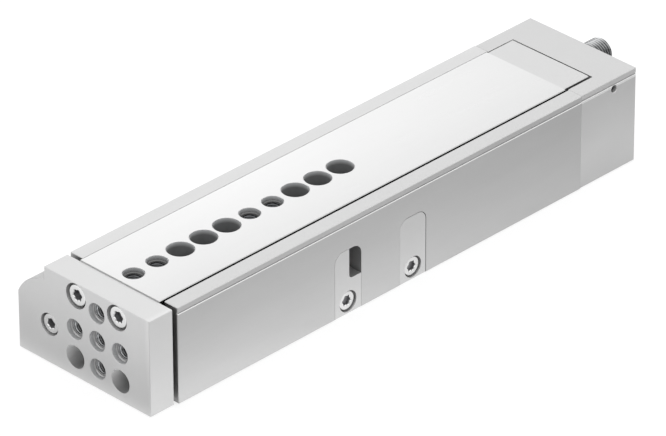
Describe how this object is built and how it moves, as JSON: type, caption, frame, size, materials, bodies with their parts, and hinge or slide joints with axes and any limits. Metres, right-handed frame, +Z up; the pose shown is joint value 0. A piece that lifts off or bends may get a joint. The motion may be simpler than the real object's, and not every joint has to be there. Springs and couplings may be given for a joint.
{
  "type": "pneumatic slide table",
  "caption": "Compact linear slide table: a long slide on ball cages in a flat housing, driven by a built-in cylinder, with a yoke plate in front and a threaded stop behind.",
  "frame": {"origin": "on the housing's bottom face, at half the housing's length without its end cap, on the slide's centre line", "axes": "+X towards the yoke, the way the slide extends; +Y towards the side with the two inset covers; +Z up"},
  "size_m": [0.2277, 0.059, 0.035],
  "materials": {
    "housing_anodised": "satin",
    "cap_anodised": "satin",
    "yoke_anodised": "satin",
    "cover_anodised": "satin",
    "slide_ground_steel": "ground",
    "tail_steel": "satin",
    "rail_hardened_steel": "ground",
    "ball_steel": "polished",
    "cage_steel": "satin",
    "screw_steel": "satin",
    "sleeve_steel": "satin",
    "rod_chromed": "polished",
    "piston_aluminium": "satin",
    "spacer_aluminium": "satin",
    "gland_aluminium": "satin",
    "bush_bronze": "satin",
    "ring_spring_steel": "satin",
    "magnet_ferrite": "matte",
    "seal_nitrile": "matte",
    "seal_polyurethane": "matte",
    "buffer_polyurethane": "matte",
    "guide_polymer": "matte"
  },
  "bodies": {
    "base": {"housing": "housing_anodised", "rear_end_cap": "cap_anodised", "cap_screws": "screw_steel", "guide_rail_left": "rail_hardened_steel", "guide_rail_right": "rail_hardened_steel", "side_cover_notched": "cover_anodised", "side_cover_plain": "cover_anodised", "cover_screws": "screw_steel", "stop_sleeve": "sleeve_steel", "stop_buffer": "buffer_polyurethane", "sleeve_grub_screw": "screw_steel", "rod_gland": "gland_aluminium", "rod_bush": "bush_bronze", "rod_seal": "seal_polyurethane", "rod_wiper": "seal_nitrile", "gland_o_ring": "seal_nitrile", "gland_retaining_ring": "ring_spring_steel", "stroke_spacer": "spacer_aluminium", "cap_o_ring": "seal_nitrile"},
    "slide": {"slide_table": "slide_ground_steel", "tail_block": "tail_steel", "tail_screws": "screw_steel", "yoke_plate": "yoke_anodised", "yoke_screws": "screw_steel", "rod_screw": "screw_steel", "piston_rod": "rod_chromed", "piston_front_half": "piston_aluminium", "piston_rear_half": "piston_aluminium", "piston_seals": "seal_polyurethane", "piston_guide_ring": "guide_polymer", "piston_magnet": "magnet_ferrite", "cushion_rings": "buffer_polyurethane", "piston_nut": "screw_steel"},
    "left_cage": {"left_ball_cage": "cage_steel", "left_balls": "ball_steel"},
    "right_cage": {"right_ball_cage": "cage_steel", "right_balls": "ball_steel"}
  },
  "joints": [
    {"name": "table_travel", "type": "slide", "parent": "base", "child": "slide", "axis": [1, 0, 0], "range_m": [0, 0.1]},
    {"name": "left_cage_travel", "type": "slide", "parent": "base", "child": "left_cage", "axis": [1, 0, 0], "range_m": [0, 0.05]},
    {"name": "right_cage_travel", "type": "slide", "parent": "base", "child": "right_cage", "axis": [1, 0, 0], "range_m": [0, 0.05]}
  ],
  "couplings": [
    {"joint": "left_cage_travel", "follows": "table_travel", "ratio": 0.5},
    {"joint": "right_cage_travel", "follows": "table_travel", "ratio": 0.5}
  ]
}
